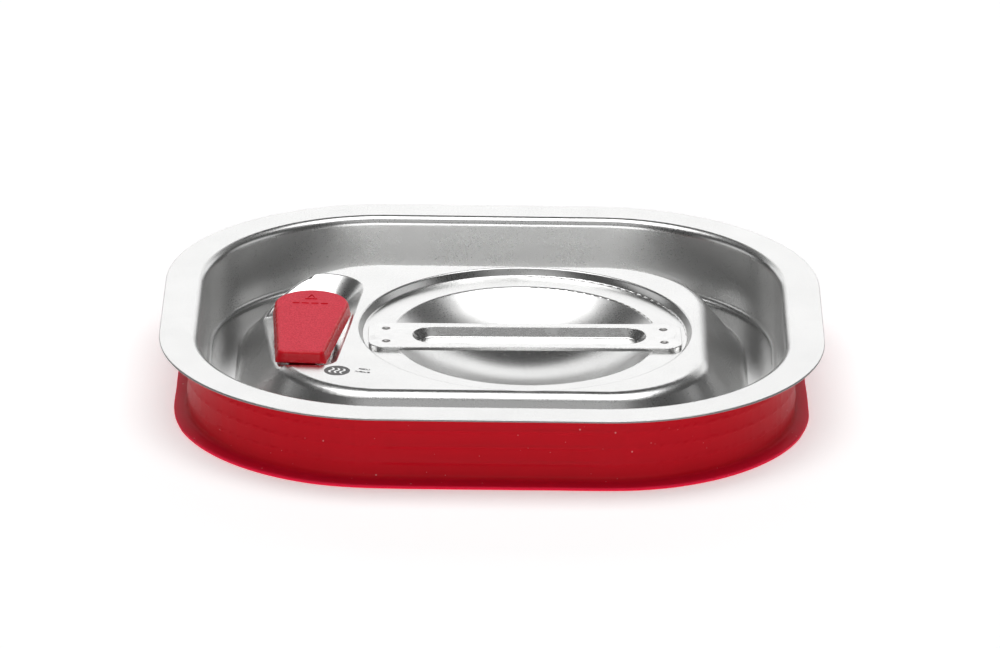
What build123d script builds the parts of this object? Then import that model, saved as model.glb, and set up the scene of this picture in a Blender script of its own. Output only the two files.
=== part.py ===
from build123d import *

import os
from math import cos, radians, sin, sqrt, tan

# Press-in lid of a stainless steel lunch box: a deep-drawn tray with a raised centre, a round handle
# recess with a spot-welded strap, a silicone seal round the wall, and a lift-up vent valve in a scoop.
#
# Millimetres. The origin is the middle of the lid on the surface that its seal stands on; +X runs along
# the long side, +Y towards the far side as the valve's lever points, +Z up. Insets are measured inwards
# from the rim's outer edge.

# Overall sizes
rim_length = 200.0
rim_width = 178.0
rim_corner_radius = 67.0
total_height = 24.0
sheet = 0.7

# Tray: flange, wall, trough and the slope up to the raised centre
wall_inset = 12.0
wall_lean = 1.0
flange_bend = 2.8
hem_thickness = 1.6
seal_gap = 0.2
floor_bend = 2.0
trough_width = 10.5
slope_run = 12.5
slope_foot_bend = 3.5
centre_bend = 5.5
centre_drop = 6.0
rim_edge_round = 0.3

# Round handle recess
recess_x = 10.0
step_depth = 2.4
step_run = 1.2
step_bend = 0.8
ledge_width = 10.3
dish_depth = 13.2
dish_bend = 1.8

# Strap handle, welded on a little off the recess's middle
strap_length = 95.0
strap_end_gap = 3.0
strap_width = 20.3
strap_waist = 19.4
strap_thickness = 1.1
strap_corner = 4.5
strap_edge_round = 0.275
strap_shift_y = -3.0
strap_turn = 1.1
groove_end = 12.0
groove_shift_x = 1.3
groove_width = 13.6
groove_depth = 2.6
groove_taper = 41.0
groove_bend = 0.8
weld_diameter = 2.6
weld_inset = 5.4
weld_pitch = 10.4
weld_dimple = 0.25

# Seal
band_inset = 9.0
band_flare = 0.5
seal_side_gap = 0.15
seal_top_gap = 1.9
lip_reach = 4.4
lip_root = 1.7
lip_tip = 1.1
lip_bend = 1.5
lip_tip_bend = 0.5
foot_bend = 0.3
band_top_bend = 0.8
band_back_bend = 0.5
hem_reach = 9.0
rib_height = 0.35
rib_width = 1.3
rib_first = 6.8
rib_pitch = 5.0
rib_count = 3
rib_sink = 0.175

# Valve scoop
scoop_left = -73.5
scoop_right = -47.9
scoop_front = -31.5
scoop_length = 64.3
scoop_angle = 6.6
scoop_wall_angle = 45.0
scoop_corner = 4.0
scoop_far_corner = 20.0
scoop_bend = 1.8
scoop_lip = 1.2
heel_depth = 1.1
scoop_over = 1.25  # the scoop's space is this much taller than the scoop is deep

# Lever, its hinge and its plug
valve_x = -57.4
lever_front = -30.2
valve_lean = 3.2
lever_length = 53.2
lever_widest = 42.0
lever_width = 23.9
lever_front_width = 15.0
lever_shoulder = 8.0
lever_corner = 2.6
lever_thickness = 3.95
lever_draft = 12.0
lever_clearance = 0.15
lever_edge = 1.3
heel_radius = 1.4
hinge_radius = 0.8
hinge_play = 0.06
hinge_opening = 0.45
hinge_half_length = 4.0
vent_hole_radius = 3.0
vent_distance = 36.0
vent_disc_radius = 5.0
vent_disc_thickness = 0.8
vent_nose_length = 2.3
vent_nose_play = 0.4
vent_nose_taper = 1.0
vent_neck_radius = 2.2
vent_socket = 1.2
vent_crown_drop = 1.5
anchor_hole_radius = 2.5
anchor_distance = 8.5
anchor_head_radius = 4.0
anchor_play = 0.05
anchor_barb = 1.1
anchor_barb_height = 0.8
anchor_barb_taper = 0.7
anchor_tail = 2.6
anchor_web = 0.65
web_drop = 0.1
web_inset = 0.5
relief_play = 0.4

# Levels and places that follow from the sizes above
rim_x = rim_length / 2
rim_y = rim_width / 2
corner_x = rim_x - rim_corner_radius
corner_y = rim_y - rim_corner_radius
trough_floor = hem_thickness + seal_gap + sheet
centre_top = total_height - centre_drop
wall_foot = wall_inset + wall_lean
slope_foot = wall_foot + trough_width
centre_inset = slope_foot + slope_run
ledge = centre_top - step_depth
strap_top = ledge + strap_thickness
recess_radius = strap_length / 2 + strap_end_gap
recess_edge = recess_radius + 0.75 * step_bend
dish_radius = recess_radius - ledge_width
groove_length = strap_length - 2 * groove_end
lever_bottom = centre_top - heel_depth + lever_clearance
hinge_along = heel_radius * (1 + sin(radians(lever_draft))) / cos(radians(lever_draft))
hinge_z = lever_bottom + heel_radius
web_top = hinge_z - web_drop

# Spare length for cuts that run right through, and how near counts as the same place
margin = 5.0
near = 0.1
tiny = 1e-3


def window(left, right, low, high):
    """A rectangle from its four sides, in sketch coordinates."""
    return Pos((left + right) / 2, (low + high) / 2) * Rectangle(right - left, high - low)


def bent(points, radii):
    """A closed outline through points, whose first corners are rounded to radii (0 leaves a corner sharp)."""
    outline = make_face(Polyline(*points, close=True))
    for (x, y), radius in zip(points, radii):
        if radius:
            corner = outline.vertices().sort_by_distance(Vector(x, y, 0))[0]
            outline = fillet(corner, radius)
    return outline


def skin(region, keep):
    """The band of sheet metal just inside the edge of a region, kept inside a window."""
    return (region - offset(region, amount=-sheet)) & keep


def round_the_rim(section):
    """Carries a section round the rounded rectangle of the rim. Its x is the inset from the rim's edge."""
    standing = Plane.XZ * (Pos(rim_corner_radius, 0) * mirror(section, about=Plane.YZ))
    solid = None
    for quarter_turn, across, along in ((0, corner_x, corner_y), (90, corner_y, corner_x)):
        side = extrude(Pos(across, along, 0) * standing, amount=2 * along, dir=(0, -1, 0))
        corner = Pos(across, along, 0) * revolve(standing, axis=Axis.Z, revolution_arc=90)
        pair = Rot(0, 0, quarter_turn) * (side + corner)
        both = pair + Rot(0, 0, 180) * pair
        solid = both if solid is None else solid + both
    return solid


def tray_outline():
    """Everything under the tray's upper surface, as a section from the rim inwards. Its x is the inset."""
    deep = -6 * margin
    points = [
        (wall_inset, total_height),
        (wall_foot, trough_floor),
        (slope_foot, trough_floor),
        (centre_inset, centre_top),
        (rim_corner_radius + margin, centre_top),
        (rim_corner_radius + margin, deep),
        (-margin, deep),
        (-margin, total_height),
    ]
    return bent(points, (flange_bend, floor_bend, slope_foot_bend, centre_bend))


def recess_outline():
    """Everything under the upper surface of the handle recess, as a section with the radius as x."""
    sphere = (dish_radius**2 + dish_depth**2) / (2 * dish_depth)
    bowl_middle = dish_radius / 2
    bowl_drop = sqrt(sphere**2 - bowl_middle**2) - (sphere - dish_depth)
    outer = recess_radius + 2 * margin
    deep = -6 * margin
    edge = Polyline(
        (dish_radius, ledge),
        (recess_radius - step_run, ledge),
        (recess_radius, centre_top),
        (outer, centre_top),
        (outer, deep),
        (-margin, deep),
        (-margin, ledge - dish_depth),
        (0, ledge - dish_depth),
    )
    bowl = ThreePointArc((0, ledge - dish_depth), (bowl_middle, ledge - bowl_drop), (dish_radius, ledge))
    region = make_face(edge + bowl)
    for x, y, radius in (
        (dish_radius, ledge, dish_bend),
        (recess_radius - step_run, ledge, step_bend),
        (recess_radius, centre_top, step_bend),
    ):
        corner = region.vertices().sort_by_distance(Vector(x, y, 0))[0]
        region = fillet(corner, radius)
    return region


def scoop_plane(depth=0.0):
    """The sloping floor of the valve scoop, which falls away from the lever's heel, sunk by a depth."""
    slope = radians(scoop_angle)
    normal = Vector(0, sin(slope), cos(slope))
    origin = Vector(0, scoop_front, centre_top - heel_depth) - normal * depth
    return Plane(origin=origin, x_dir=(1, 0, 0), z_dir=normal)


def scoop_void(grow=0.0):
    """The space of the valve scoop, open towards the trough, or the same space grown by the sheet.

    A thin slab over the raised centre is part of it, so that a fillet rolls the scoop's edge into the flat.
    """
    spread = grow * tan(radians(90 - scoop_wall_angle) / 2)
    right = scoop_right + spread
    back = scoop_length + spread
    floor = [(right, -spread), (right, back), (scoop_left, back), (scoop_left, -spread)]
    floor = bent(floor, (scoop_corner + spread, scoop_corner + spread, scoop_far_corner + spread))
    deepest = heel_depth + scoop_length * sin(radians(scoop_angle))
    space = extrude(floor, amount=scoop_over * (deepest + grow), taper=-scoop_wall_angle)
    foot = [edge for edge in space.edges().group_by(Axis.Z)[0] if (edge @ 0.5).X > scoop_left + near]
    space = scoop_plane(grow) * fillet(foot, scoop_bend + grow)

    right = scoop_right + deepest + margin / 2
    front = scoop_front - heel_depth - margin / 2
    back = scoop_front + scoop_length + deepest + margin / 2
    slab_left = scoop_left + margin
    slab = extrude(window(slab_left, right, front, back), amount=1)
    level = centre_top - grow
    space += Pos(0, 0, level) * slab
    brim = []
    for edge in space.edges():
        box = edge.bounding_box()
        inside = box.max.X < right - near and box.min.Y > front + near and box.max.Y < back - near
        level_edge = box.size.Z < tiny and abs(box.min.Z - level) < tiny
        if inside and level_edge and box.max.X > slab_left + near:
            brim.append(edge)
    return fillet(brim, scoop_lip - grow)


def lever_place(distance=0.0):
    """A place on the lever's centre line, at a distance from its front edge, at the level z = 0."""
    return Pos(valve_x, lever_front, 0) * Rot(0, 0, -valve_lean) * Pos(0, distance, 0)


def on_scoop(distance):
    """A place on the scoop's floor under the lever's centre line, with +Z along the floor's normal."""
    spot = lever_place(distance).position
    fall = (spot.Y - scoop_front) * tan(radians(scoop_angle))
    return Pos(spot.X, spot.Y, centre_top - heel_depth - fall) * Rot(-scoop_angle, 0, 0)


def make_lid_shell():
    """The drawn stainless tray, with the vent hole and the hole that holds the valve's anchor."""
    recess_room = Pos(recess_x, 0, 0) * Cylinder(recess_edge, 2 * total_height)
    flat_edge = centre_inset + centre_bend
    section = skin(tray_outline(), window(0, flat_edge, 0, total_height))
    cut_corners = section.vertices().group_by(Axis.X)[0]
    ring = round_the_rim(fillet(cut_corners, rim_edge_round))
    flat_length = 2 * (rim_x - flat_edge)
    flat_width = 2 * (rim_y - flat_edge)
    plate = RectangleRounded(flat_length, flat_width, rim_corner_radius - flat_edge)
    plate = Pos(0, 0, centre_top - sheet) * extrude(plate, amount=sheet)
    recess = Plane.XZ * skin(recess_outline(), window(0, recess_edge, 0, centre_top))
    recess = Pos(recess_x, 0, 0) * revolve(recess, axis=Axis.Z)
    shell = ring + plate - recess_room + recess

    bulk = round_the_rim(tray_outline() & window(0, rim_corner_radius, 0, total_height))
    core = Pos(0, 0, centre_top / 2) * Box(2 * corner_x, 2 * corner_y, centre_top)
    void = scoop_void()
    scoop = (scoop_void(sheet) - void) & (bulk + core - recess_room)
    shell = shell - void + scoop

    for distance, radius in ((vent_distance, vent_hole_radius), (anchor_distance, anchor_hole_radius)):
        shell -= on_scoop(distance) * Cylinder(radius, 4 * margin)
    return shell


def groove_solid(grow):
    """The space of the strap's stiffening groove below its top, or that space grown by the strap's sheet."""
    spread = grow * tan(radians(90 - groove_taper) / 2)
    top = SlotOverall(groove_length + 2 * spread, groove_width + 2 * spread)
    space = extrude(top, amount=-(groove_depth + grow), taper=groove_taper)
    return Pos(groove_shift_x, 0) * fillet(space.edges().group_by(Axis.Z)[0], groove_bend + grow)


def strap_place():
    """Where the middle of the strap's top lies, and how the strap is turned."""
    return Pos(recess_x, strap_shift_y, strap_top) * Rot(0, 0, strap_turn)


def weld_places():
    """Where the strap is welded to the ledge: two spots at each end, at the ledge's level."""
    reach = strap_length / 2 - weld_inset
    spots = [(side * reach, row * weld_pitch / 2) for side in (-1, 1) for row in (-1, 1)]
    return [strap_place() * Pos(x, y, -strap_thickness) for x, y in spots]


def make_handle_strap():
    """The flat strap across the recess, narrower in the middle, with a pressed groove and weld holes."""
    end = strap_length / 2
    side = strap_width / 2
    waist = strap_waist / 2
    outline = Polyline((-end, -side), (-end, side)) + ThreePointArc((-end, side), (0, waist), (end, side))
    outline += Polyline((end, side), (end, -side)) + ThreePointArc((end, -side), (0, -waist), (-end, -side))
    outline = make_face(outline)
    strap = extrude(fillet(outline.vertices(), strap_corner), amount=-strap_thickness)
    strap = strap + groove_solid(strap_thickness) - groove_solid(0)
    top = strap.faces().filter_by(Axis.Z).sort_by(Axis.Z)[-1]
    strap = fillet(top.edges(), strap_edge_round)
    strap = strap_place() * strap
    for place in weld_places():
        strap -= place * Cylinder(weld_diameter / 2, 4 * strap_thickness)
    return strap


def make_spot_welds():
    """The four weld nuggets, each a little below the strap's top, as the electrode leaves them."""
    height = strap_thickness - weld_dimple
    nugget = Cylinder(weld_diameter / 2, height, align=(Align.CENTER, Align.CENTER, Align.MIN))
    nugget = chamfer(nugget.edges().group_by(Axis.Z)[-1], weld_dimple)
    return Compound([place * nugget for place in weld_places()])


def make_seal_ring():
    """The silicone seal: a ribbed band on the wall, a wiping lip at its foot and a hem under the tray."""
    top = total_height - sheet - seal_top_gap
    wall_in = wall_inset - sheet - seal_side_gap
    lean = wall_lean / (total_height - trough_floor)
    flare = band_flare / top

    def inner(height):
        return wall_in + lean * (total_height - height)

    def outer(height):
        return band_inset - flare * (top - height)

    tip = outer(0) - lip_reach
    points = [
        (inner(hem_thickness), hem_thickness),
        (outer(lip_root), lip_root),
        (outer(top), top),
        (inner(top), top),
        (tip, lip_tip),
        (tip, 0),
        (wall_foot + hem_reach, 0),
        (wall_foot + hem_reach, hem_thickness),
    ]
    inside_corner, lip_corner, outer_top, inner_top, tip_top, tip_foot, hem_foot, hem_top = points
    section = bent(
        [inside_corner, inner_top, outer_top, lip_corner, tip_top, tip_foot, hem_foot, hem_top],
        (floor_bend + sheet, band_back_bend, band_top_bend, lip_bend, lip_tip_bend, foot_bend),
    )
    for row in range(rib_count):
        height = rib_first + row * rib_pitch
        root = outer(height) + rib_sink
        rib = Polyline(
            (root, height - rib_width),
            (root, height + rib_width),
            (root - rib_sink - rib_height, height),
            close=True,
        )
        section += make_face(rib)
    return round_the_rim(section)


def lever_outline():
    """The lever's underside from its front edge at y = 0: narrow in front, wide and arched at the back."""
    half = lever_width / 2
    front = lever_front_width / 2
    sides = Polyline((-half, lever_widest), (-front, 0), (front, 0), (half, lever_widest))
    arch = ThreePointArc((half, lever_widest), (0, lever_length), (-half, lever_widest))
    outline = make_face(sides + arch)
    for corners, radius in ((0, lever_corner), (-1, lever_shoulder)):
        outline = fillet(outline.vertices().group_by(Axis.Y)[corners], radius)
    return outline


def hinge_rod(radius, half_length):
    """A rod on the lever's hinge line."""
    return lever_place(hinge_along) * Pos(0, 0, hinge_z) * Rot(0, 90, 0) * Cylinder(radius, 2 * half_length)


def box_behind(distance, length, half_width, low, high):
    """A box on the lever's centre line that starts at a distance from the lever's front edge."""
    block = Box(2 * half_width, length, high - low, align=(Align.CENTER, Align.MIN, Align.MIN))
    return lever_place(distance) * Pos(0, 0, low) * block


def make_valve_tab():
    """The vent lever: a rounded heel on the hinge, room for the anchor, and a socket for the plug."""
    tab = extrude(lever_outline(), amount=lever_thickness, taper=lever_draft)
    tab = fillet(tab.edges().group_by(Axis.Z)[-1], lever_edge)
    tab = lever_place() * Pos(0, 0, lever_bottom) * tab
    heel = box_behind(-margin, margin + hinge_along, lever_front_width, lever_bottom - margin, hinge_z)
    tab -= heel - hinge_rod(heel_radius, lever_front_width)

    room = hinge_half_length + hinge_play
    tab -= hinge_rod(hinge_radius + hinge_play, room)
    low = lever_bottom - margin
    throat = hinge_opening + hinge_radius + hinge_play
    tab -= box_behind(hinge_along - hinge_opening, throat, room, low, hinge_z)
    head_room = anchor_head_radius + relief_play
    ceiling = web_top + relief_play
    tab -= box_behind(hinge_along + hinge_radius, anchor_distance - hinge_along, room, low, ceiling)
    pocket = Cylinder(head_room, ceiling - low, align=(Align.CENTER, Align.CENTER, Align.MIN))
    tab -= lever_place(anchor_distance) * Pos(0, 0, low) * pocket
    return tab - plug_neck()


def plug_neck():
    """The plug's neck, from its disc up into the lever."""
    place = on_scoop(vent_distance)
    start = lever_clearance + vent_disc_thickness / 2
    height = lever_bottom + vent_socket - place.position.Z - start
    neck = Cylinder(vent_neck_radius, height, align=(Align.CENTER, Align.CENTER, Align.MIN))
    return place * Pos(0, 0, start) * neck


def make_vent_plug():
    """The plug: a disc that lies over the vent hole, a nose that finds the hole, and a neck in the lever."""
    under = lever_clearance
    edge = under + vent_disc_thickness
    crown = edge + vent_disc_radius - vent_neck_radius - vent_crown_drop
    nose = vent_hole_radius - vent_nose_play
    outline = [
        (0, crown),
        (vent_neck_radius, crown),
        (vent_disc_radius, edge),
        (vent_disc_radius, under),
        (nose, under),
        (nose - vent_nose_taper, under - vent_nose_length),
        (0, under - vent_nose_length),
    ]
    turned = revolve(Plane.XZ * make_face(Polyline(*outline, close=True)), axis=Axis.Z)
    return on_scoop(vent_distance) * turned + plug_neck()


def make_valve_anchor():
    """The anchor: a barbed stud through the sheet, its head, and a web that ends in the hinge bead."""
    barb = -sheet - anchor_play
    stem = anchor_hole_radius - anchor_play
    outline = [
        (0, margin),
        (anchor_head_radius, margin),
        (anchor_head_radius, anchor_play),
        (stem, anchor_play),
        (stem, barb),
        (stem + anchor_barb, barb),
        (stem + anchor_barb * anchor_barb_taper, barb - anchor_barb_height),
        (stem * anchor_barb_taper, barb - anchor_tail),
        (0, barb - anchor_tail),
    ]
    turned = revolve(Plane.XZ * make_face(Polyline(*outline, close=True)), axis=Axis.Z)
    stud = on_scoop(anchor_distance) * turned
    above = box_behind(-lever_length, 2 * lever_length, lever_length, web_top, total_height + margin)
    half_web = anchor_head_radius - web_inset
    web = box_behind(hinge_along, anchor_distance - hinge_along, half_web, web_top - anchor_web, web_top)
    return stud - above + web + hinge_rod(hinge_radius, hinge_half_length)


parts = {
    "lid_shell": make_lid_shell,
    "handle_strap": make_handle_strap,
    "spot_welds": make_spot_welds,
    "seal_ring": make_seal_ring,
    "valve_tab": make_valve_tab,
    "vent_plug": make_vent_plug,
    "valve_anchor": make_valve_anchor,
}
os.makedirs("parts", exist_ok=True)
for node, make in parts.items():
    export_step(make(), f"parts/{node}.step")
    print(node)
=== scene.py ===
# %% [markdown]
# # A press-in lunch box lid
#
# The real thing is a shallow tray drawn from one sheet of stainless steel. It has a flange for a rim, a
# raised centre with a round handle recess, a strap spot-welded across the recess, a red silicone seal round
# its wall and a small red lever that lifts a vent plug. The engineering model already holds every size.
# This script loads it as a fixed frame, gives each part the surface it has in the kitchen, and adds the
# small things that are easier to shape here. Every place below is read from the frame, in metres.

# %% Load the frame
from math import cos, pi, radians, sin

import bmesh
import bpy
from mathutils import Matrix, Vector, noise


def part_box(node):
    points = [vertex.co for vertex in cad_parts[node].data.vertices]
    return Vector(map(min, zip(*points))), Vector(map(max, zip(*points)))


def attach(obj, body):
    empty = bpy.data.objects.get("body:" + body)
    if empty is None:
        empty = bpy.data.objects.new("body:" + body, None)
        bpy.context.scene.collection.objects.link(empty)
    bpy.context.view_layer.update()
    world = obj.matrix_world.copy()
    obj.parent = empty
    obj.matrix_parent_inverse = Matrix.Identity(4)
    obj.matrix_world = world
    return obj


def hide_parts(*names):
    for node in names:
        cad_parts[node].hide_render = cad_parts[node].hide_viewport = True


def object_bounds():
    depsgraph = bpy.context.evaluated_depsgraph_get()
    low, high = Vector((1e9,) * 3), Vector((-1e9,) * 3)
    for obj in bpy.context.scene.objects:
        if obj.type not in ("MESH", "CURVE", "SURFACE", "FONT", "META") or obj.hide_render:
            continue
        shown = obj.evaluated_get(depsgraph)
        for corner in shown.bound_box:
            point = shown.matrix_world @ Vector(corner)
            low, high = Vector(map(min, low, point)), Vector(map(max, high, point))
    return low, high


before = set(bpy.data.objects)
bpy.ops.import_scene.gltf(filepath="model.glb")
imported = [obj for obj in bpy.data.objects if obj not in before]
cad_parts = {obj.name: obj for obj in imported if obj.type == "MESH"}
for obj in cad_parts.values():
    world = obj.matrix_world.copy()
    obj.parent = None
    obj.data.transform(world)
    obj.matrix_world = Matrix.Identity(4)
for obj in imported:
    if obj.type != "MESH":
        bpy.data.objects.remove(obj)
cad_box = [list(corner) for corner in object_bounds()]
low, high = (Vector(corner) for corner in cad_box)
mm = 0.001
scene = bpy.context.scene
print("the lid measures", [round(side / mm, 1) for side in high - low], "mm")

# %% [markdown]
# ## Camera
#
# A long lens from well back keeps the lid's far side almost as large as its near side, so its shape reads
# true. A short lens close by would also fill the frame, but the near rim would bulge. So the lens is long,
# and the camera is placed by plain measures: its distance, its height angle, a very small tilt, and the
# point it is aimed at.

# %% Place the camera
view_distance = 2.2782
view_elevation = radians(21.582)
view_roll = radians(-0.713)
aim_right = 0.0023
aim_up = -0.0046
focal_length = 270.5
sensor_width = 36
nearest_seen = 0.05
farthest_seen = 50

backward = Vector((0, -cos(view_elevation), sin(view_elevation)))
rightward = Vector((1, 0, 0))
upward = backward.cross(rightward)
camera_right = rightward * cos(view_roll) - upward * sin(view_roll)
camera_up = rightward * sin(view_roll) + upward * cos(view_roll)
rim_centre = Vector((0, 0, high.z))
aim = rim_centre + camera_right * aim_right + camera_up * aim_up

lens = bpy.data.cameras.new("product lens")
lens.sensor_width = sensor_width
lens.lens = focal_length
lens.clip_start = nearest_seen
lens.clip_end = farthest_seen
camera = bpy.data.objects.new("product camera", lens)
axes = Matrix((camera_right, camera_up, backward)).transposed()
camera.matrix_world = Matrix.Translation(aim + backward * view_distance) @ axes.to_4x4()
scene.collection.objects.link(camera)
scene.camera = camera
print("camera stands", round(view_distance, 3), "m back, lens", focal_length, "mm")

# %% [markdown]
# ## Shader sums
#
# Each finish below is a small network of nodes. Nodes could be wired one link at a time, but a mask such as
# "disc minus wave" reads better as a sum. `Wire` holds the output of a node, and Python's own signs add the
# Math nodes, also when a plain number stands in front, as in `1 - mask`.


# %% Do sums with outputs
class Wire:
    """An output of a node, which can be used in sums."""

    def __init__(self, finish, socket):
        self.finish = finish
        self.socket = socket

    def math(self, operation, *values):
        return self.finish.node("ShaderNodeMath", {"operation": operation}, dict(enumerate(values)))

    def __add__(self, other):
        return self.math("ADD", self, other)

    def __sub__(self, other):
        return self.math("SUBTRACT", self, other)

    def __rsub__(self, other):
        return self.math("SUBTRACT", other, self)

    def __mul__(self, other):
        return self.math("MULTIPLY", self, other)

    def __gt__(self, other):
        return self.math("GREATER_THAN", self, other)

    def __lt__(self, other):
        return self.math("LESS_THAN", self, other)

    def __abs__(self):
        return self.math("ABSOLUTE", self)

    __radd__ = __add__
    __rmul__ = __mul__

    def sine(self):
        return self.math("SINE", self)

    def between(self, low_edge, high_edge):
        """0 below the low edge, 1 above the high edge, and a smooth rise between them."""
        settings = {"interpolation_type": "SMOOTHSTEP"}
        sockets = {"Value": self, "From Min": low_edge, "From Max": high_edge}
        return self.finish.node("ShaderNodeMapRange", settings, sockets)


print("an output can be used with + - * > < abs, sine and between")

# %% [markdown]
# ## One material at a time
#
# `Finish` holds one material. Its method `node` adds any node that isn't a sum, and the shorter methods
# stand for the few patterns that the lid's finishes share: soft clouds, specks of dust, a blend of two
# colours and a bump. Every pattern reads Object coordinates, so it stays where it is on the piece.


# %% Build a finish from nodes
speck_core = 0.05
speck_rim = 0.14


class Finish:
    """One material, made of nodes round a Principled shader."""

    def __init__(self, name, **constants):
        self.material = bpy.data.materials.new(name)
        self.material.use_nodes = True
        self.tree = self.material.node_tree
        self.shader = self.tree.nodes["Principled BSDF"]
        for socket, value in constants.items():
            self.shader.inputs[socket.replace("_", " ")].default_value = value

    def node(self, kind, settings=None, sockets=None, output=0):
        """Adds a node. Its settings are set first, then its sockets get their values or links."""
        made = self.tree.nodes.new(kind)
        for name, value in (settings or {}).items():
            setattr(made, name, value)
        for name, value in (sockets or {}).items():
            self.feed(made.inputs[name], value)
        return Wire(self, made.outputs[output])

    def feed(self, entry, value):
        """Links a wire to a socket, or sets the socket to a plain value."""
        if isinstance(value, Wire):
            self.tree.links.new(value.socket, entry)
        elif entry.type == "RGBA":
            entry.default_value = (*value, 1)
        else:
            entry.default_value = value

    def into_shader(self, **wires):
        """Links wires to the shader and says which sockets they feed."""
        print(self.material.name, "varies in", ", ".join(wires))
        for name, wire in wires.items():
            self.feed(self.shader.inputs[name.replace("_", " ")], wire)

    def place(self, centre=(0, 0, 0), turn=0.0, stretch=(1, 1, 1)):
        """Object coordinates, moved to a centre, turned about Z and stretched."""
        coordinates = self.node("ShaderNodeTexCoord", output="Object")
        sockets = {"Vector": coordinates, "Location": centre, "Rotation": (0, 0, turn), "Scale": stretch}
        return self.node("ShaderNodeMapping", {"vector_type": "TEXTURE"}, sockets)

    def axis(self, vector, name):
        """One of a vector's three parts."""
        return self.node("ShaderNodeSeparateXYZ", sockets={"Vector": vector}, output=name)

    def facing(self, name):
        """How much the surface looks along one of the object's own axes."""
        return self.axis(self.node("ShaderNodeTexCoord", output="Normal"), name)

    def cloud(self, size, detail=3, stretch=(1, 1, 1), roughness=0.5):
        """Soft noise whose lumps have about this size, in metres."""
        sockets = {"Vector": self.place(stretch=stretch), "Scale": 1 / size}
        sockets.update({"Detail": detail, "Roughness": roughness})
        return self.node("ShaderNodeTexNoise", sockets=sockets, output="Fac")

    def specks(self, size, share):
        """Round specks in cells of a size, in metres; only a share of the cells has one."""
        cells = {"Vector": self.place(), "Scale": 1 / size}
        distance = self.node("ShaderNodeTexVoronoi", {"feature": "F1"}, cells, output="Distance")
        cell_colour = self.node("ShaderNodeTexVoronoi", {"feature": "F1"}, cells, output="Color")
        chosen = self.axis(cell_colour, "X") < share
        return (1 - distance.between(speck_core, speck_rim)) * chosen

    def blend(self, factor, first, second):
        """The first colour where the factor is 0 and the second where it is 1."""
        sockets = {0: factor, 6: first, 7: second}
        return self.node("ShaderNodeMix", {"data_type": "RGBA"}, sockets, output=2)

    def bump(self, height, depth, strength=1.0):
        """A surface normal from a height between 0 and 1, whose full depth is in metres."""
        sockets = {"Height": height, "Distance": depth, "Strength": strength}
        return self.node("ShaderNodeBump", sockets=sockets)


print("a speck of dust fades out by", speck_rim, "of its cell")

# %% [markdown]
# ## Shared shape helpers
#
# The engineering model reaches Blender as loose triangles with one set of normals per face, and polished
# steel shows that as a hard line wherever a flat runs into a bend. A copy can be merged and shaded again,
# with each point's normal weighted by the area of the faces round it. Then flats stay flat, bends stay
# round and only true edges stay sharp. Modelling the tray again would work too, but its bends already have
# the right radii.


# %% Merge a copy of an engineering part
merge_distance = 1e-6
sharp_from = 35
stale_normals = ("custom_normal", "sharp_edge", "sharp_face")


def new_piece(name, mesh, finish, body):
    """Puts a finished mesh in the scene, on its body, with its material and slot."""
    piece = bpy.data.objects.new(name, mesh)
    scene.collection.objects.link(piece)
    mesh.materials.clear()
    mesh.materials.append(finish.material)
    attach(piece, body)
    print(name, "has", len(mesh.polygons), "faces")
    return piece


def merged_copy(node):
    """A bmesh of a part with its loose triangles joined."""
    shape = bmesh.new()
    shape.from_mesh(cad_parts[node].data)
    bmesh.ops.remove_doubles(shape, verts=shape.verts, dist=merge_distance)
    return shape


def to_mesh(shape, name, sharp_angle=sharp_from):
    """Turns a bmesh into a smooth mesh whose sharp edges are kept."""
    mesh = bpy.data.meshes.new(name)
    shape.to_mesh(mesh)
    shape.free()
    for stale in stale_normals:
        if stale in mesh.attributes:
            mesh.attributes.remove(mesh.attributes[stale])
    mesh.shade_smooth()
    mesh.set_sharp_from_angle(angle=radians(sharp_angle))
    return mesh


def even_shading(piece):
    """Normals weighted by face area, so that a bend meets its flat without a seam."""
    even = piece.modifiers.new("even shading", "WEIGHTED_NORMAL")
    even.mode = "FACE_AREA"
    even.keep_sharp = True


print("points within", merge_distance, "m are joined; edges over", sharp_from, "degrees stay sharp")

# %% [markdown]
# ## Drawn steel
#
# The tray is bright cold-rolled sheet, drawn in a press. Rolling leaves very fine parallel grain, drawing
# leaves the bends with a faint orange-peel texture where the metal stretched, and use leaves hair
# scratches. All of it is too fine to model, so it is in the roughness and the bump. Colour hardly changes,
# because clean steel has its colour from what it reflects.

# %% Make the drawn steel
steel_colour = (0.77, 0.77, 0.765)
steel_shade = (0.69, 0.69, 0.685)
grain_width = 0.30 * mm
peel_size = 0.55 * mm
patch_size = 14 * mm
scratch_width = 0.12 * mm
scratch_stretch = 60
steel_relief = 0.006 * mm
relief_strength = 0.5


def rolled_steel(name, grain_stretch, roughness, orange_peel):
    """Cold-rolled stainless sheet. Returns the finish and its parts, for whatever is added to it."""
    finish = Finish(name, Metallic=1.0)
    grain = finish.cloud(grain_width, detail=2, stretch=(grain_stretch, 1, 1))
    peel = finish.cloud(peel_size, detail=2)
    patches = finish.cloud(patch_size, detail=2)
    hairs = finish.cloud(scratch_width, detail=1, stretch=(scratch_stretch, 1, 1))
    scratches = hairs.between(0.70, 0.78)
    bends = 1 - abs(finish.facing("Z")).between(0.90, 0.995)
    colour = finish.blend(patches * 0.3 + grain * 0.5, steel_colour, steel_shade)
    rough = roughness + (patches - 0.5) * 0.05 + (grain - 0.5) * 0.12 + bends * 0.07 + scratches * 0.08
    height = grain * 0.4 + peel * bends * orange_peel - scratches * 0.3
    return finish, colour, rough, height


drawn_steel, colour, rough, height = rolled_steel(
    "drawn steel", grain_stretch=1.6, roughness=0.22, orange_peel=1.4
)
print("the steel's grain is", round(grain_width / mm, 2), "mm wide")

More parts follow.
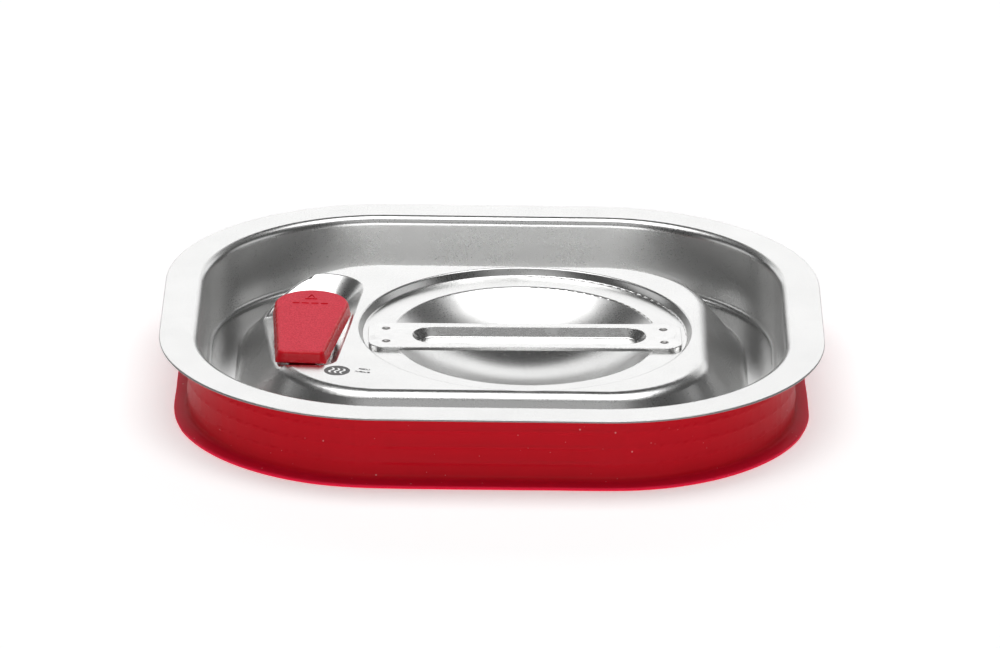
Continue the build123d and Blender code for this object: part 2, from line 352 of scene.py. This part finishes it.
# %% [markdown]
# ## The care mark
#
# The flat in front of the lever carries a small etched mark. On a lid like this it says that the lid may go
# in the oven or the dishwasher. A plain disc with three rising steam lines says as much, with two short
# etched bars beside it, and no words. It is only a change of colour and roughness, so it is masked in the
# steel's own shader.

# %% Etch the care mark
etched_colour = (0.19, 0.19, 0.19)
mark_centre = Vector((low.x + 53.8 * mm, low.y + 52.3 * mm, 0))
mark_turn = radians(-14)
mark_radius = 3.9 * mm
mark_below_rim = 8 * mm
steam_pitch = 1.7 * mm
steam_half_width = 0.33 * mm
steam_half_height = 1.9 * mm
steam_sway = 0.45 * mm
steam_wavelength = 3.4 * mm
side_bar_middle = 7.6 * mm
side_bar_half_lengths = (2.3 * mm, 1.7 * mm)
side_bar_half_width = 0.55 * mm
side_bar_first = 1.0 * mm
side_bar_pitch = 2.2 * mm
etch_grain = 0.7 * mm

spot = drawn_steel.place(centre=mark_centre, turn=mark_turn)
mark_x = drawn_steel.axis(spot, "X")
mark_y = drawn_steel.axis(spot, "Y")
steel_z = drawn_steel.axis(drawn_steel.place(), "Z")
upwards = drawn_steel.facing("Z")


def steam_line(number):
    """One line of the rising steam, which sways to one side and back."""
    sway = (mark_y * (2 * pi / steam_wavelength)).sine() * steam_sway
    across = abs(mark_x - number * steam_pitch - sway) < steam_half_width
    return across * (abs(mark_y) < steam_half_height)


def side_bar(number, half_length):
    """One of the short bars beside the disc."""
    across = abs(mark_y - (side_bar_first + number * side_bar_pitch)) < side_bar_half_width
    return across * (abs(mark_x - side_bar_middle) < half_length)


in_plan = drawn_steel.node("ShaderNodeCombineXYZ", sockets={"X": mark_x, "Y": mark_y})
reach = drawn_steel.node("ShaderNodeVectorMath", {"operation": "LENGTH"}, {0: in_plan}, output="Value")
disc = reach < mark_radius
steam = sum(steam_line(number) for number in (-1, 0, 1))
side_bars = sum(side_bar(number, half) for number, half in enumerate(side_bar_half_lengths))
dashes = drawn_steel.cloud(etch_grain, detail=0).between(0.35, 0.5)
on_flat = (upwards > 0.9) * (steel_z > high.z - mark_below_rim)
etched = (disc * (1 - steam) + side_bars * dashes) * on_flat
colour = drawn_steel.blend(etched, colour, etched_colour)
print("the etched disc is", round(2 * mark_radius / mm, 1), "mm across")

# %% [markdown]
# ## The cut edge
#
# Where the press sheared the sheet, the flange's edge is torn metal, darker and duller than the rolled
# faces. It could be a second material on the edge's faces. A mask does it without a seam: it takes the
# steel near the rim's top that looks sideways, and breaks its tone up with short upright tears.

# %% Darken the cut edge
cut_edge_colour = (0.20, 0.20, 0.20)
cut_edge_depth = 0.62 * mm
tear_width = 0.5 * mm
cut_edge = (steel_z > high.z - cut_edge_depth) * (abs(upwards) < 0.6)
tears = drawn_steel.cloud(tear_width, detail=2, stretch=(1, 1, 4))
colour = drawn_steel.blend(cut_edge * (0.7 + tears * 0.4), colour, cut_edge_colour)
drawn_steel.into_shader(
    Base_Color=colour,
    Roughness=rough + etched * 0.25 + cut_edge * 0.2,
    Normal=drawn_steel.bump(height, steel_relief, relief_strength),
)

# %% [markdown]
# ## The tray
#
# One sheet, from the flange's cut edge down the wall, through the trough and up to the raised centre. The
# merged copy described above stands for it. One place changes: in the engineering part the scoop's floor
# meets the slope outside it in a plain edge, while the real press rolls the metal over there. The edge is
# found by where it lies and how far it turns, and bevelled round. Flat triangles are joined first, so that
# the bevel has long clean edges to run along.

# %% Dress the tray
brink_roll = 1.1 * mm
brink_segments = 5
brink_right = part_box("vent_plug")[0].x + 7.5 * mm
brink_bottom = 9 * mm
brink_top = 17.4 * mm
planar = radians(0.2)
turn_least = radians(18)
upward_least = 0.2


def on_brink(edge):
    """Whether an edge is where the scoop's floor turns over into the slope outside it."""
    middle = (edge.verts[0].co + edge.verts[1].co) / 2
    beside_scoop = middle.x < brink_right and brink_bottom < middle.z < brink_top
    if not (beside_scoop and edge.is_manifold and edge.calc_face_angle_signed(0) > turn_least):
        return False
    return min(face.normal.z for face in edge.link_faces) > upward_least


sheet_shape = merged_copy("lid_shell")
bmesh.ops.dissolve_limit(sheet_shape, angle_limit=planar, verts=sheet_shape.verts, edges=sheet_shape.edges)
brink = [edge for edge in sheet_shape.edges if on_brink(edge)]
bmesh.ops.bevel(
    sheet_shape,
    geom=brink,
    offset=brink_roll,
    affect="EDGES",
    segments=brink_segments,
    profile=0.5,
    material=-1,
    clamp_overlap=False,
)
print(len(brink), "edges rolled over beside the scoop")
tray = new_piece("tray_skin", to_mesh(sheet_shape, "tray_skin"), drawn_steel, "lid")
even_shading(tray)
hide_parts("lid_shell")

# %% [markdown]
# ## The strap handle
#
# The strap is cut from narrower sheet, pressed with one groove for stiffness and handled every day, so it
# has more hair scratches and a slightly softer shine than the tray, and its grain runs the length of the
# strap.

# %% Dress the strap
rub_width = 0.25 * mm
rub_stretch = 30
smudge_size = 5 * mm
strap_steel, colour, rough, height = rolled_steel(
    "strap steel", grain_stretch=8, roughness=0.20, orange_peel=0.8
)
rubs = strap_steel.cloud(rub_width, detail=1, stretch=(1, rub_stretch, 1)).between(0.68, 0.76)
smudges = strap_steel.cloud(smudge_size, detail=3).between(0.55, 0.75)
strap_steel.into_shader(
    Base_Color=colour,
    Roughness=rough + rubs * 0.08 + smudges * 0.06,
    Normal=strap_steel.bump(height - rubs * 0.4, steel_relief, relief_strength),
)
strap_mesh = to_mesh(merged_copy("handle_strap"), "strap_skin")
strap = new_piece("strap_skin", strap_mesh, strap_steel, "lid")
even_shading(strap)
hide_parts("handle_strap")

# %% [markdown]
# ## The spot welds
#
# A spot weld is where two electrodes squeezed the strap and the tray together. It leaves a shallow dish
# with a raised ring round it, a little darker from the heat. The engineering part holds all the welds in
# one mesh, so first its points are sorted into one group for each weld, by how near they are to each other
# in plan.

# %% Find the welds
weld_apart = 4 * mm
weld_groups = []
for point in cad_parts["spot_welds"].data.vertices:
    near = [group for group in weld_groups if (group[0] - point.co).to_2d().length < weld_apart]
    if near:
        near[0].append(point.co.copy())
    else:
        weld_groups.append([point.co.copy()])
print(len(weld_groups), "welds")

# %% [markdown]
# Each weld could be a flat disc with a bump, but its ring catches the light. So it is turned on a lathe: a
# few points up from the middle, spun once round. The spin is merged, and its normals are recalculated
# because a spin can turn a shape inside out.

# %% Turn the weld marks
weld_radius = 1.3 * mm
weld_steps = 32
weld_low, weld_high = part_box("spot_welds")
weld_profile = (
    (0.00, weld_low.z),
    (1.00, weld_low.z),
    (1.00, weld_high.z - 0.10 * mm),
    (0.88, weld_high.z),
    (0.72, weld_high.z - 0.04 * mm),
    (0.42, weld_high.z - 0.26 * mm),
    (0.00, weld_high.z - 0.30 * mm),
)


def turn_weld(shape, centre):
    """Spins the weld's outline round an upright axis."""
    outline = []
    for share, height in weld_profile:
        outline.append(shape.verts.new((centre.x + share * weld_radius, centre.y, height)))
    edges = [shape.edges.new(pair) for pair in zip(outline, outline[1:])]
    bmesh.ops.spin(
        shape,
        geom=outline + edges,
        cent=(centre.x, centre.y, 0),
        axis=(0, 0, 1),
        angle=2 * pi,
        steps=weld_steps,
        use_merge=True,
    )


welds_shape = bmesh.new()
for group in weld_groups:
    turn_weld(welds_shape, (Vector(map(min, zip(*group))) + Vector(map(max, zip(*group)))) / 2)
bmesh.ops.remove_doubles(welds_shape, verts=welds_shape.verts, dist=merge_distance)
bmesh.ops.recalc_face_normals(welds_shape, faces=welds_shape.faces)

print("the welds' outline has", len(weld_profile), "points")

# %% [markdown]
# The weld's metal is the strap's own steel, browned in patches by the heat. So its finish is a metal with two
# tones, and the same patches make it a little rougher.

# %% Dress the weld marks
weld_burnt = (0.50, 0.49, 0.48)
weld_bright = (0.72, 0.71, 0.70)
heat_size = 0.5 * mm
weld_relief = 0.03 * mm
weld_steel = Finish("weld steel", Metallic=1.0)
heat = weld_steel.cloud(heat_size, detail=3)
weld_steel.into_shader(
    Base_Color=weld_steel.blend(heat, weld_burnt, weld_bright),
    Roughness=0.24 + heat * 0.16,
    Normal=weld_steel.bump(heat, weld_relief, 0.6),
)
welds = new_piece("weld_marks", to_mesh(welds_shape, "weld_marks"), weld_steel, "lid")
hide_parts("spot_welds")

# %% [markdown]
# ## The seal's silicone
#
# The seal is moulded silicone: a deep red, a little see-through at thin edges, with a skin between satin
# and glossy. The mould leaves faint flow lines along it, and silicone draws dust, which shows as pale
# specks. Its thin wiping lip at the foot is painted a lighter red: painted light for the floor's bounce,
# which also lifts the contact shadow there. All of that is colour and skin, so one finish holds it, with
# the lip's painted light masked by height.

# %% Make the seal's silicone
silicone_ior = 1.41
deep_red = (0.47, 0.0035, 0.011)
clear_red = (0.57, 0.0045, 0.015)
# painted light: a paler red for the seal's foot, standing for the floor's bounce and lifting its contact
# shadow
lip_painted_light_red = (0.95, 0.016, 0.070)
seal_dust = (0.75, 0.42, 0.42)
lip_foot = 0.3 * mm
lip_height = 2.2 * mm
seal_relief = 0.05 * mm
seal_silicone = Finish(
    "seal silicone",
    IOR=silicone_ior,
    Specular_IOR_Level=0.12,
    Subsurface_Weight=0.12,
    Subsurface_Radius=(0.8 * mm, 0.2 * mm, 0.2 * mm),
    Subsurface_Scale=1.0,
)
seal_z = seal_silicone.axis(seal_silicone.place(), "Z")
cloudy = seal_silicone.cloud(9 * mm, detail=3)
flow = seal_silicone.cloud(1.2 * mm, detail=2, stretch=(18, 18, 1))
skin = seal_silicone.cloud(0.4 * mm, detail=2)
dust = seal_silicone.specks(2.6 * mm, 0.16) + seal_silicone.specks(1.1 * mm, 0.05)
colour = seal_silicone.blend(cloudy * 0.7 + flow * 0.3, deep_red, clear_red)
# painted light: the seal's foot is blended to a paler red for the floor's bounce, which also lifts the
# contact shadow
colour = seal_silicone.blend(1 - seal_z.between(lip_foot, lip_height), colour, lip_painted_light_red)
colour = seal_silicone.blend(dust * 0.55, colour, seal_dust)
seal_silicone.into_shader(
    Base_Color=colour,
    Roughness=0.36 + cloudy * 0.12 + dust * 0.3,
    Normal=seal_silicone.bump(skin * 0.5 + flow * 0.8 + dust * 0.6, seal_relief, 0.5),
)

# %% [markdown]
# ## The seal
#
# The band is straight in the mould and stretched round the wall, so it never sits perfectly true: the
# wiping lip lifts and waves a little, most at the right end where it has been pulled. A cloth simulation
# could do this, but rubber this stiff only sways slowly, so a slow noise is enough. The copy of the seal
# has long triangles on its straight sides, which can't bend, so planes cut it across first.

# %% Cut the seal across
cut_step = 5 * mm
cuts_along = 34
cuts_across = 30
seal = merged_copy("seal_ring")
for side, count in ((0, cuts_along), (1, cuts_across)):
    for number in range(-count // 2, count // 2 + 1):
        plane_point = Vector((0, 0, 0))
        plane_point[side] = number * cut_step
        facing = Vector((0, 0, 0))
        facing[side] = 1
        everything = seal.verts[:] + seal.edges[:] + seal.faces[:]
        bmesh.ops.bisect_plane(seal, geom=everything, plane_co=plane_point, plane_no=facing, dist=1e-7)
print("the seal now has", len(seal.verts), "points")

# %% [markdown]
# Each point then moves straight outwards or inwards by the noise. The push fades out towards the wall and
# upwards from the lip, so the band keeps its grip, and the foot stays on its standing plane. The lip is
# drawn in a little first, so that no wave passes the size of the engineering part.

# %% Wave the seal's lip
slow_wave = 34 * mm
quick_wave = slow_wave / 3
quick_share = 0.4
lip_wave = 0.45 * mm
end_wave = 0.35 * mm
lip_drawn_in = 0.3 * mm
free_lip = 3.4 * mm
grip_fade = 3 * mm
wave_height = 6 * mm
elsewhere = Vector((1, 0, 0))
seal_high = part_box("seal_ring")[1]


def lip_push(spot):
    """How far a point of the seal moves outwards."""
    in_plan = Vector((spot.x, spot.y, 0))
    around = noise.noise(in_plan / slow_wave)
    fine = noise.noise((in_plan + elsewhere) / quick_wave)
    from_outline = max(abs(spot.x) - seal_high.x, abs(spot.y) - seal_high.y)
    outer = min(1, max(0, (from_outline + free_lip) / grip_fade))
    low_down = max(0, 1 - spot.z / wave_height)
    pulled = max(0, spot.x / high.x) ** 3
    wave = (around + quick_share * fine) * (lip_wave + end_wave * pulled)
    return (wave - lip_drawn_in) * low_down * outer


for point in seal.verts:
    outwards = Vector((point.co.x, point.co.y, 0)).normalized()
    point.co = point.co + outwards * lip_push(point.co)
seal_piece = new_piece("seal_skin", to_mesh(seal, "seal_skin", 50), seal_silicone, "seal")
even_shading(seal_piece)
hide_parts("seal_ring")

# %% [markdown]
# ## The lever's silicone
#
# The lever is the same rubber in a lighter red. Its mould was spark-eroded on the top face only, so the top
# is matt with a fine grain while the sides stay glossy. The top is also painted a paler, pinker red in its
# grain: a painted sheen for the light its matt skin scatters. Two materials would meet in a hard line at the
# rounded edge, so one finish holds both, and a mask of height and facing fades the grain and the painted
# sheen out over the edge.

# %% Make the lever's silicone
grain_fades_at = 1.2 * mm
grain_full_at = 0.3 * mm
spark_size = 0.32 * mm
mottle_size = 4 * mm
lever_relief = 0.07 * mm
side_dark = (0.70, 0.007, 0.018)
side_light = (0.80, 0.010, 0.024)
top_dark = (0.72, 0.014, 0.036)
# painted sheen: the pale pink in the top's grain stands for the light its matt skin scatters
top_sheen_light = (0.97, 0.062, 0.108)
lever_dust = (0.85, 0.5, 0.5)
lever_low, lever_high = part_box("valve_tab")
lever_silicone = Finish(
    "lever silicone",
    IOR=silicone_ior,
    Specular_IOR_Level=0.4,
    Subsurface_Weight=0.15,
    Subsurface_Radius=(0.9 * mm, 0.25 * mm, 0.25 * mm),
    Subsurface_Scale=1.0,
)
lever_z = lever_silicone.axis(lever_silicone.place(), "Z")
near_top = lever_z.between(lever_high.z - grain_fades_at, lever_high.z - grain_full_at)
# the top's mask carries both its real grain and its painted sheen
grain_and_sheen_top = lever_silicone.facing("Z").between(0.80, 0.97) * near_top
spark = lever_silicone.cloud(spark_size, detail=2, roughness=0.7)
mottle = lever_silicone.cloud(mottle_size, detail=3)
dust = lever_silicone.specks(1.6 * mm, 0.15)
side_red = lever_silicone.blend(mottle, side_dark, side_light)
# painted sheen: the top's grain is blended towards a pale pink, a lit copy of the lever's red
top_grain_and_sheen_red = lever_silicone.blend(spark.between(0.35, 0.65), top_dark, top_sheen_light)
colour = lever_silicone.blend(grain_and_sheen_top, side_red, top_grain_and_sheen_red)
colour = lever_silicone.blend(dust * 0.4, colour, lever_dust)
lever_silicone.into_shader(
    Base_Color=colour,
    Roughness=0.24 + grain_and_sheen_top * 0.30 + mottle * 0.06,
    Normal=lever_silicone.bump(spark * grain_and_sheen_top + mottle * 0.2, lever_relief, 0.7),
)

# %% [markdown]
# ## The lever
#
# The lever's shape, with its rounded rim and its heel round the hinge bead, comes from the engineering
# part. It could be modelled again, but a merged copy keeps the fit with the plug and the anchor.

# %% Dress the lever
lever_mesh = to_mesh(merged_copy("valve_tab"), "lever_skin")
tab = new_piece("lever_skin", lever_mesh, lever_silicone, "vent_valve")
even_shading(tab)
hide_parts("valve_tab")

# %% [markdown]
# ## The marks on the lever
#
# On top it has a small raised triangle that points away from the hinge, which says which end to lift, and a
# row of raised grip bars where a thumb pushes. A bump in the finish would look flat from the side, so they
# are real shapes. Each is a flat outline that is extruded and bevelled, and sits a hair into the lever so
# that no gap shows.

# %% Raise flat faces
raised = 0.30 * mm
sunk = 0.15 * mm
mark_rounding = 0.08 * mm
marks_turn = Matrix.Rotation(radians(-3.2), 3, "Z")
lever_middle = (lever_low.x + lever_high.x) / 2


def raise_faces(shape, faces):
    """Extrudes flat faces upwards from just under the lever's top and rounds what stands proud."""
    made = bmesh.ops.extrude_face_region(shape, geom=faces)["geom"]
    tops = [item for item in made if isinstance(item, bmesh.types.BMVert)]
    bmesh.ops.translate(shape, verts=tops, vec=(0, 0, raised + sunk))
    bmesh.ops.bevel(
        shape,
        geom=[edge for edge in shape.edges if all(end in tops for end in edge.verts)],
        offset=mark_rounding,
        affect="EDGES",
        segments=3,
        profile=0.5,
        material=-1,
    )


print("marks stand", round(raised / mm, 2), "mm proud of the lever")

# %% [markdown]
# The triangle is a circle of three points, made a little narrower. An inset leaves only its outline, and
# its middle is deleted, so that the line is raised and the lever shows inside it.

# %% Raise the triangle
triangle_centre = Vector((lever_middle - 0.2 * mm, lever_high.y - 7.6 * mm, lever_high.z - sunk))
triangle_reach = 2.8 * mm
triangle_narrowing = 0.76
line_width = 0.42 * mm
emboss = bmesh.new()
corners = bmesh.ops.create_circle(emboss, cap_ends=True, segments=3, radius=triangle_reach)["verts"]
bmesh.ops.scale(emboss, verts=corners, vec=(triangle_narrowing, 1, 1))
bmesh.ops.rotate(emboss, verts=corners, matrix=marks_turn)
inside = list(emboss.faces)
outline = bmesh.ops.inset_region(
    emboss, faces=inside, thickness=line_width, use_boundary=True, use_even_offset=True
)["faces"]
bmesh.ops.delete(emboss, geom=inside, context="FACES_ONLY")
raise_faces(emboss, outline)
bmesh.ops.translate(emboss, verts=emboss.verts, vec=triangle_centre)
print("the triangle has", len(emboss.faces), "faces")

# %% [markdown]
# The grip bars are all alike, so a loop makes them. Each starts as a flat square that is scaled to the
# bar's length and width, gets its corners rounded, is raised, and moves to its place in the row.

# %% Raise the grip bars
bar_row = Vector((lever_middle - 0.5 * mm, lever_high.y - 12.4 * mm, lever_high.z - sunk))
bar_count = 4
bar_length = 2.2 * mm
bar_width = 0.6 * mm
bar_pitch = 2.9 * mm
bar_corner = 0.45 * bar_width
for number in range(bar_count):
    before = set(emboss.verts)
    grid = bmesh.ops.create_grid(emboss, x_segments=1, y_segments=1, size=0.5)["verts"]
    bmesh.ops.scale(emboss, verts=grid, vec=(bar_length, bar_width, 1))
    bmesh.ops.bevel(
        emboss, geom=grid, offset=bar_corner, affect="VERTICES", segments=4, profile=0.5, material=-1
    )
    raise_faces(emboss, [face for face in emboss.faces if all(vert not in before for vert in face.verts)])
    bar = [vert for vert in emboss.verts if vert not in before]
    along = Vector(((number - (bar_count - 1) / 2) * bar_pitch, 0, 0))
    bmesh.ops.translate(emboss, verts=bar, vec=along)
    bmesh.ops.rotate(emboss, verts=bar, matrix=marks_turn)
    bmesh.ops.translate(emboss, verts=bar, vec=bar_row)
bmesh.ops.recalc_face_normals(emboss, faces=emboss.faces)
new_piece("lever_marks", to_mesh(emboss, "lever_marks"), lever_silicone, "vent_valve")

# %% [markdown]
# ## The plug and the anchor
#
# Both are the lever's own rubber. They are mostly out of sight, under the lever, so the engineering parts
# stay and take a satin silicone with a little cloudiness and skin texture through their own material slots.

# %% Dress the plug and the anchor
plug_dark = (0.46, 0.008, 0.016)
plug_light = (0.58, 0.011, 0.022)
plug_relief = 0.03 * mm
plug_silicone = Finish("plug silicone", IOR=silicone_ior, Subsurface_Weight=0.1, Subsurface_Scale=mm)
cloudy = plug_silicone.cloud(2.5 * mm, detail=3)
skin = plug_silicone.cloud(0.3 * mm, detail=2)
plug_silicone.into_shader(
    Base_Color=plug_silicone.blend(cloudy, plug_dark, plug_light),
    Roughness=0.30 + cloudy * 0.14,
    Normal=plug_silicone.bump(skin, plug_relief, 0.5),
)
for node in ("vent_plug", "valve_anchor"):
    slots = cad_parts[node].material_slots
    for slot in slots:
        slot.material = plug_silicone.material
    print(node, "has", len(slots), "material slot")

# %% [markdown]
# ## The floor
#
# The lid lies on a pale sweep, a hair above it so that the two never share a plane. Bright steel mirrors
# the floor too, and the light on the floor falls off towards the far side. A little glow of its own keeps
# the sweep evenly pale without a lamp so strong that it would wash out the steel.

# %% Lay the floor
floor_reach = 6
floor_gap = 0.02 * mm
floor_grey = (0.94, 0.94, 0.94, 1)
floor_glow = 0.36
floor_shape = bmesh.new()
bmesh.ops.create_grid(floor_shape, x_segments=1, y_segments=1, size=floor_reach)
floor_mesh = bpy.data.meshes.new("floor")
floor_shape.to_mesh(floor_mesh)
floor_shape.free()
floor_mesh.transform(Matrix.Translation((0, 0, low.z - floor_gap)))
floor = bpy.data.objects.new("floor", floor_mesh)
scene.collection.objects.link(floor)
pale_sweep = Finish(
    "pale sweep",
    Base_Color=floor_grey,
    Roughness=0.9,
    Specular_IOR_Level=0.1,
    Emission_Color=(1, 1, 1, 1),
    Emission_Strength=floor_glow,
)
floor_mesh.materials.append(pale_sweep.material)
print("the sweep reaches", floor_reach, "m each way")

# %% [markdown]
# ## The room
#
# Bright steel is a picture of the room round it. A bright room would make the whole lid one pale grey, so
# the room itself is nearly black, and everything the steel shows is one of the lights below. The Standard
# view keeps their brightness as it is set.

# %% Darken the room
room_grey = (0.03, 0.03, 0.03, 1)
scene.view_settings.view_transform = "Standard"
room = bpy.data.worlds.new("studio room")
room.use_nodes = True
backdrop = room.node_tree.nodes["Background"]
backdrop.inputs["Color"].default_value = room_grey
backdrop.inputs["Strength"].default_value = 1.0
scene.world = room
print("the room's grey is", room_grey[0])

# %% [markdown]
# ## The lights
#
# Each light is a soft box, a plain rectangle that faces the lid. The one behind stands low, so that every
# flat mirrors it towards the camera. The broad one overhead shows in the steep bends, and the gap between
# the two is what leaves the walls dark. Two near the camera, one high and faint and one low and bright,
# show in the slopes and on the seal, and one at each side keeps the steel from going black when it is seen
# from another direction.


# %% Set the lights
def softbox(name, place, width, depth, brightness):
    """A rectangular light that faces the lid. Its brightness is that of its surface, whatever its size."""
    lamp = bpy.data.lights.new(name, "AREA")
    lamp.shape = "RECTANGLE"
    lamp.size = width
    lamp.size_y = depth
    lamp.energy = brightness * pi * width * depth
    holder = bpy.data.objects.new(name, lamp)
    facing_lid = (-Vector(place)).to_track_quat("-Z", "Y").to_matrix().to_4x4()
    holder.matrix_world = Matrix.Translation(place) @ facing_lid
    scene.collection.objects.link(holder)
    print(name, "is", width, "by", depth, "m")


def standing_at(distance, height_angle):
    """A point at a distance from the lid, at a height angle. Past 90 degrees it is on the camera's side."""
    angle = radians(height_angle)
    return (0, distance * cos(angle), distance * sin(angle))


side_distance = 3.0
side_behind = 0.2
side_height = 1.0
for name, side in (("light at the left", -1), ("light at the right", 1)):
    softbox(name, (side * side_distance, side_behind, side_height), 2.2, 1.0, 0.8)
softbox("light behind", standing_at(2.8, 22), 4.4, 1.0, 1.32)
softbox("light overhead", standing_at(2.3, 86), 2.4, 1.5, 3.0)
softbox("light above the camera", standing_at(2.8, 133), 2.4, 1.2, 0.55)
softbox("light beside the camera", standing_at(3.2, 171), 3.6, 0.95, 2.6)
